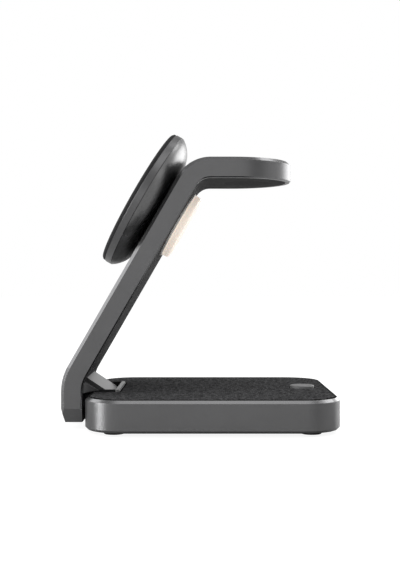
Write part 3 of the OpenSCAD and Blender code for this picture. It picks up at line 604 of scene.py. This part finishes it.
def end_tree(tree, instances, finish):
    """Makes the instances real, dresses them and joins them to the tree's output."""
    real = add(tree, "GeometryNodeRealizeInstances", {"Geometry": instances})
    dressed = add(tree, "GeometryNodeSetMaterial", {
        "Geometry": real.outputs["Geometry"], "Material": finish})
    add(tree, "NodeGroupOutput", {"Geometry": dressed.outputs["Geometry"]})


def bake(carrier, tree, values, name):
    """Runs the tree on the carrier and keeps the result as a plain mesh at the origin."""
    modifier = carrier.modifiers.new(name, "NODES")
    modifier.node_group = tree
    for identifier, value in values.items():
        modifier[identifier] = value
    graph = bpy.context.evaluated_depsgraph_get()
    mesh = bpy.data.meshes.new_from_object(carrier.evaluated_get(graph))
    carrier.modifiers.remove(modifier)
    piece = bpy.data.objects.new(name, mesh)
    bpy.context.scene.collection.objects.link(piece)
    print(name, "faces:", len(mesh.polygons))
    return piece


# %% [markdown]
# ## The places of the weave
# The tree lays a grid of crossings over the sheet, a little above it. A ray sent down from each
# place asks whether there is flat sheet below: where it meets a hole or the rounded edge, there
# is no hump. The ray starts a little further out than its place, which keeps humps off the
# edge. The button needs room to slide, so a circle round it stays free as well.

# %% Places for the threads
THREAD_PITCH = 0.00082
OUTWARD = 1.012
RAY_LENGTH = 0.0008
FLAT_ENOUGH = 0.995
SEED = 7

weave, given, place = new_tree("plain_weave", [
    ("Hump", "Object", None), ("Pitch", "Float", THREAD_PITCH), ("Length", "Float", 0.1),
    ("Width", "Float", 0.1), ("Rise", "Float", WEAVE_DEPTH), ("Middle", "Vector", None),
    ("Button", "Vector", None), ("Keep Off", "Float", 0.0056), ("Seed", "Int", SEED),
    ("Thread", "Material", None)])
rows = calculate(weave, "FLOOR", calculate(weave, "DIVIDE", given["Length"], given["Pitch"]))
columns = calculate(weave, "FLOOR", calculate(weave, "DIVIDE", given["Width"], given["Pitch"]))
grid = add(weave, "GeometryNodeMeshGrid", {
    "Size X": calculate(weave, "MULTIPLY", rows, given["Pitch"]),
    "Size Y": calculate(weave, "MULTIPLY", columns, given["Pitch"]),
    "Vertices X": calculate(weave, "ADD", rows, 1.0),
    "Vertices Y": calculate(weave, "ADD", columns, 1.0)})
points = add(weave, "GeometryNodeMeshToPoints", {"Mesh": grid.outputs["Mesh"]})
moved = add(weave, "GeometryNodeSetPosition", {
    "Geometry": points.outputs["Points"], "Offset": given["Middle"]})

where = add(weave, "GeometryNodeInputPosition").outputs[0]
from_middle = combine(weave, "SUBTRACT", where, given["Middle"])
further_out = combine(weave, "MULTIPLY", from_middle, (OUTWARD, OUTWARD, 1))
ray = add(weave, "GeometryNodeRaycast", {
    "Target Geometry": given["Geometry"], "Ray Direction": (0, 0, -1),
    "Source Position": combine(weave, "ADD", further_out, given["Middle"]),
    "Ray Length": RAY_LENGTH})
facing = add(weave, "ShaderNodeSeparateXYZ", {0: ray.outputs["Hit Normal"]}).outputs["Z"]
on_flat = calculate(weave, "GREATER_THAN", facing, FLAT_ENOUGH)
off_sheet = calculate(weave, "LESS_THAN",
                      calculate(weave, "MULTIPLY", on_flat, ray.outputs["Is Hit"]), 0.5)
level = combine(weave, "MULTIPLY", where, (1, 1, 0))
to_button = combine(weave, "DISTANCE", level, given["Button"], "Value")
at_button = calculate(weave, "LESS_THAN", to_button, given["Keep Off"])
field = add(weave, "GeometryNodeDeleteGeometry", {
    "Geometry": moved.outputs["Geometry"],
    "Selection": calculate(weave, "MAXIMUM", off_sheet, at_button)}, domain="POINT")
print("nodes for the places:", len(weave.nodes))

# %% [markdown]
# Every second crossing, like the dark squares of a chess board, is turned by a quarter. Woven
# by a machine, the threads are still not quite alike, so each hump is turned by a few degrees,
# raised a little more or less, and given its own shade in the attribute that the finish reads.
# The seed is fixed, so the cloth comes out the same each time.

# %% A thread at each place
JITTER = 0.09
LOWEST_SHARE = 0.7
DYE_LEAST_SHARE, DYE_MOST_SHARE = 0.15, 0.85


def random_number(low, high, seed_step):
    """A number for each place, from its own row of random numbers."""
    seed = calculate(weave, "ADD", given["Seed"], float(seed_step)) if seed_step else given["Seed"]
    node = add(weave, "FunctionNodeRandomValue", {"Seed": seed}, data_type="FLOAT")
    fill(weave, node, {2: low, 3: high})
    return node.outputs[1]


at = add(weave, "ShaderNodeSeparateXYZ", {0: from_middle})
count_x = calculate(weave, "ROUND", calculate(weave, "DIVIDE", at.outputs["X"], given["Pitch"]))
count_y = calculate(weave, "ROUND", calculate(weave, "DIVIDE", at.outputs["Y"], given["Pitch"]))
chess = calculate(weave, "FLOORED_MODULO", calculate(weave, "ADD", count_x, count_y), 2.0)
quarter = calculate(weave, "MULTIPLY", chess, math.pi / 2)
turn = add(weave, "ShaderNodeCombineXYZ", {
    "Z": calculate(weave, "ADD", quarter, random_number(-JITTER, JITTER, 0))}).outputs[0]
size = add(weave, "ShaderNodeCombineXYZ", {
    "X": given["Pitch"], "Y": given["Pitch"],
    "Z": calculate(weave, "MULTIPLY", random_number(LOWEST_SHARE, 1.0, 1),
                   given["Rise"])}).outputs[0]
thread = add(weave, "GeometryNodeObjectInfo", {"Object": given["Hump"]})
threads = add(weave, "GeometryNodeInstanceOnPoints", {
    "Points": field.outputs["Geometry"], "Instance": thread.outputs["Geometry"],
    "Rotation": turn, "Scale": size})
dyed = add(weave, "GeometryNodeStoreNamedAttribute", {
    "Geometry": threads.outputs["Instances"], "Name": "thread_dye",
    "Value": random_number(DYE_LEAST_SHARE, DYE_MOST_SHARE, 2)},
    data_type="FLOAT", domain="INSTANCE")
end_tree(weave, dyed.outputs["Geometry"], given["Thread"])
print("nodes in the weave:", len(weave.nodes))

# %% [markdown]
# Now the tree is run on the sheet. Its inputs come from the sheet's box and from the button's
# round cap, whose middle and radius are measured on the CAD node.

# %% Weave the top
ABOVE_SHEET = 0.0003
CAP_REACH = 0.001
ROOM_IN_PITCHES = 0.75

cap = [v.co for v in nodes["lamp_button"].data.vertices if v.co.z > sheet_high.z - CAP_REACH]
cap_x = [co.x for co in cap]
cap_y = [co.y for co in cap]
button_at = ((min(cap_x) + max(cap_x)) / 2, (min(cap_y) + max(cap_y)) / 2, 0)
button_r = (max(cap_x) - min(cap_x)) / 2
print("button radius in mm:", round(1000 * button_r, 2))

fabric_threads = bake(fabric_sheet, weave, {
    place["Hump"]: hump, place["Pitch"]: THREAD_PITCH,
    place["Length"]: sheet_size.x, place["Width"]: sheet_size.y, place["Rise"]: WEAVE_DEPTH,
    place["Middle"]: ((sheet_low.x + sheet_high.x) / 2, (sheet_low.y + sheet_high.y) / 2,
                      sheet_high.z - WEAVE_DEPTH + ABOVE_SHEET),
    place["Button"]: button_at,
    place["Keep Off"]: button_r + ROOM_IN_PITCHES * THREAD_PITCH,
    place["Seed"]: SEED, place["Thread"]: woven}, "fabric_threads")
fabric_threads.data.transform(Matrix.Translation((0, 0, -ABOVE_SHEET)))
bpy.data.objects.remove(hump)

for piece in (fabric_sheet, fabric_threads):
    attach(piece, "stand")
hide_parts("fabric_top")

# %% [markdown]
# ## Contacts in the socket
# The socket's tongue carries twelve gold contacts above and twelve below, half a millimetre
# apart. Each could be a cube that is copied by hand, but one small plate, repeated along a line
# once for each side, keeps the spacing exact and takes its sizes from named inputs.

# %% Contacts as a node tree
CONTACTS_A_SIDE = 12

contacts, given, place = new_tree("contact_rows", [
    ("Count", "Int", CONTACTS_A_SIDE), ("Pitch", "Float", 0.0005), ("Wide", "Float", 0.00028),
    ("Long", "Float", 0.0028), ("High", "Float", 0.00006), ("Apart", "Float", 0.0007),
    ("Middle", "Vector", None), ("Gold", "Material", None)])
plate = add(contacts, "GeometryNodeMeshCube", {"Size": add(contacts, "ShaderNodeCombineXYZ", {
    "X": given["Long"], "Y": given["Wide"], "Z": given["High"]}).outputs[0]})
span = calculate(contacts, "MULTIPLY", given["Pitch"],
                 calculate(contacts, "SUBTRACT", given["Count"], 1.0))
step = add(contacts, "ShaderNodeCombineXYZ", {"Y": given["Pitch"]}).outputs[0]
both = add(contacts, "GeometryNodeJoinGeometry")
for side in (0.5, -0.5):
    first = add(contacts, "ShaderNodeCombineXYZ", {
        "Y": calculate(contacts, "MULTIPLY", span, -0.5),
        "Z": calculate(contacts, "MULTIPLY", given["Apart"], side)}).outputs[0]
    row = add(contacts, "GeometryNodeMeshLine", {
        "Count": given["Count"], "Offset": step,
        "Start Location": combine(contacts, "ADD", first, given["Middle"])}, mode="OFFSET")
    placed = add(contacts, "GeometryNodeInstanceOnPoints", {
        "Points": row.outputs["Mesh"], "Instance": plate.outputs["Mesh"]})
    fill(contacts, both, {"Geometry": placed.outputs["Instances"]})
end_tree(contacts, both.outputs["Geometry"], given["Gold"])
print("nodes in the contact tree:", len(contacts.nodes))

# %% [markdown]
# The tongue lies in the middle of the socket's box, and its front end is a little way in, so
# the rows are placed from the box. An empty mesh carries the modifier, because the tree makes
# all its geometry by itself.

# %% Contacts on the tongue
TONGUE_FROM_MIDDLE = -0.0004
gold = blasted_metal("gold_contacts", (0.75, 0.52, 0.2), 0.25)
socket_low, socket_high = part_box("usb_c_socket")
socket_centre = (socket_low + socket_high) / 2
carrier = bpy.data.objects.new("contact_carrier", bpy.data.meshes.new("contact_carrier"))
bpy.context.scene.collection.objects.link(carrier)
usb_contacts = bake(carrier, contacts, {
    place["Count"]: CONTACTS_A_SIDE,
    place["Middle"]: socket_centre + Vector((TONGUE_FROM_MIDDLE, 0, 0)),
    place["Gold"]: gold}, "usb_contacts")
bpy.data.objects.remove(carrier)
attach(usb_contacts, "stand")

# %% [markdown]
# ## The room
# Metal looks like what it mirrors. The photo's room is bright in front, a good deal darker
# behind the left and to the right of the camera, and softer overhead, and those dark parts give
# the round ends their shading. A picture of a room could be wrapped round the scene, but a ramp
# over the compass and a blend over the height are enough. Only mirror rays see that room.
# Matte surfaces get an even soft light, and the camera sees pure white behind the stand.

# %% World
FRONT_LIGHT, HIGH_LIGHT, SOFT_LIGHT = 1.75, 0.5, 0.45
# Degrees from the camera's side, to the right, and the share of light that comes from there
AROUND_SHARES = [(-150, 0.8), (-138, 0.22), (-104, 0.22), (-84, 0.8), (-60, 1.0), (30, 1.0),
                 (39, 0.28), (56, 0.28), (76, 0.9)]
LOW_VIEW, HIGH_VIEW = -0.18, 0.42
WHITE = (1, 1, 1, 1)

world = bpy.data.worlds.new("studio")
bpy.context.scene.world = world
world.use_nodes = True
sky = world.node_tree
sky.nodes.clear()
axes = add(sky, "ShaderNodeSeparateXYZ", {0: add(sky, "ShaderNodeTexCoord").outputs["Generated"]})
turn_round = calculate(sky, "ARCTAN2", axes.outputs["X"],
                       calculate(sky, "MULTIPLY", axes.outputs["Y"], -1.0))
panorama = add(sky, "ShaderNodeMapRange", {
    "Value": turn_round, "From Min": -math.pi, "From Max": math.pi}).outputs["Result"]
ring = add(sky, "ShaderNodeValToRGB", {"Fac": panorama})
stops = ring.color_ramp.elements
while len(stops) < len(AROUND_SHARES):
    stops.new(0.5)
for stop, (degrees, share) in zip(stops, AROUND_SHARES):
    stop.position = (degrees + 180) / 360
    stop.color = (share, share, share, 1)
height = add(sky, "ShaderNodeMapRange", {
    "Value": axes.outputs["Z"], "From Min": LOW_VIEW, "From Max": HIGH_VIEW},
    interpolation_type="SMOOTHSTEP").outputs["Result"]
mirrored_light = add(sky, "ShaderNodeMapRange", {
    "Value": height, "To Min": calculate(sky, "MULTIPLY", ring.outputs["Color"], FRONT_LIGHT),
    "To Max": HIGH_LIGHT}).outputs["Result"]
mirrored, soft, white = (
    add(sky, "ShaderNodeBackground", {"Color": WHITE, "Strength": strength}).outputs[0]
    for strength in (mirrored_light, SOFT_LIGHT, 1.0))
path = add(sky, "ShaderNodeLightPath")
shiny = calculate(sky, "MAXIMUM", path.outputs["Is Glossy Ray"],
                  path.outputs["Is Transmission Ray"])
lit = add(sky, "ShaderNodeMixShader", {0: shiny, 1: soft, 2: mirrored})
seen = add(sky, "ShaderNodeMixShader", {
    0: path.outputs["Is Camera Ray"], 1: lit.outputs[0], 2: white})
add(sky, "ShaderNodeOutputWorld", {"Surface": seen.outputs[0]})
print("stops round the room:", len(stops))

# %% [markdown]
# ## The lamps
# A studio lights a product with large soft panels. A narrow strip at the left draws the bright
# line down the base's round corner and along the arm's bevel, a broad panel behind it lights
# the bevel higher up, two on the right catch the disc's shell and the head's end, and one above
# fills the fabric. Each is an area lamp, placed by its angles round the stand, so that moving
# one is a matter of two numbers.

# %% Lamps
STAND_MIDDLE = Vector((0, 0, 0.06))


def panel(name, turned, raised, width, height, brightness, away=1.0):
    """A flat lamp, so many degrees to the right of the camera's side and above the table."""
    data = bpy.data.lights.new(name, "AREA")
    data.shape = "RECTANGLE"
    data.size, data.size_y = width, height
    data.energy = brightness * math.pi * width * height
    holder = bpy.data.objects.new(name, data)
    turned, raised = math.radians(turned), math.radians(raised)
    towards = Vector((math.sin(turned) * math.cos(raised), -math.cos(turned) * math.cos(raised),
                      math.sin(raised)))
    holder.location = STAND_MIDDLE + towards * away
    holder.rotation_euler = towards.to_track_quat("Z", "Y").to_euler()
    bpy.context.scene.collection.objects.link(holder)
    print(name, "power in W:", round(data.energy, 2))


panel("low_left_strip", -74, 7, 0.26, 0.3, 21)
panel("left_panel", -108, 32, 0.9, 0.5, 1.8)
panel("low_right_panel", 137, 10, 0.65, 0.36, 3.2)
panel("high_right_panel", 122, 43, 0.36, 0.62, 3.2)
panel("top_panel", 5, 68, 1.1, 0.75, 1.15, 1.1)

# %% [markdown]
# ## The floor
# The stand rests on white paper that runs out of sight. Lit paper would need much more light
# than the stand can take, so the camera sees it as a faint matte surface with a glow added:
# nearly white everywhere, but a little darker where the stand keeps the light off it. All other
# rays meet plain pale paper, which throws light up under the head and into the metal.

# %% Floor
FLOOR_HALF = 3.0
PAPER_GREY, FAINT_GREY, PAPER_GLOW = 0.66, 0.28, 0.9

floor_mesh = bpy.data.meshes.new("floor")
floor_mesh.from_pydata([(x * FLOOR_HALF, y * FLOOR_HALF, 0) for x, y in
                        ((-1, -1), (1, -1), (1, 1), (-1, 1))], [], [(0, 1, 2, 3)])
floor = bpy.data.objects.new("floor", floor_mesh)
bpy.context.scene.collection.objects.link(floor)
paper = bpy.data.materials.new("floor_paper")
paper.use_nodes = True
paper_tree = paper.node_tree
paper_tree.nodes.clear()
pale = add(paper_tree, "ShaderNodeBsdfPrincipled", {
    "Base Color": (PAPER_GREY, PAPER_GREY, PAPER_GREY, 1), "Roughness": 0.35})
faint = add(paper_tree, "ShaderNodeBsdfDiffuse", {
    "Color": (FAINT_GREY, FAINT_GREY, FAINT_GREY, 1)})
glow = add(paper_tree, "ShaderNodeEmission", {"Strength": PAPER_GLOW})
bright = add(paper_tree, "ShaderNodeAddShader", {0: faint.outputs[0], 1: glow.outputs[0]})
camera_ray = add(paper_tree, "ShaderNodeLightPath").outputs["Is Camera Ray"]
paper_mix = add(paper_tree, "ShaderNodeMixShader", {
    0: camera_ray, 1: pale.outputs[0], 2: bright.outputs[0]})
add(paper_tree, "ShaderNodeOutputMaterial", {"Surface": paper_mix.outputs[0]})
floor_mesh.materials.append(paper)
print("floor in m:", [round(v, 1) for v in floor.dimensions[:2]])
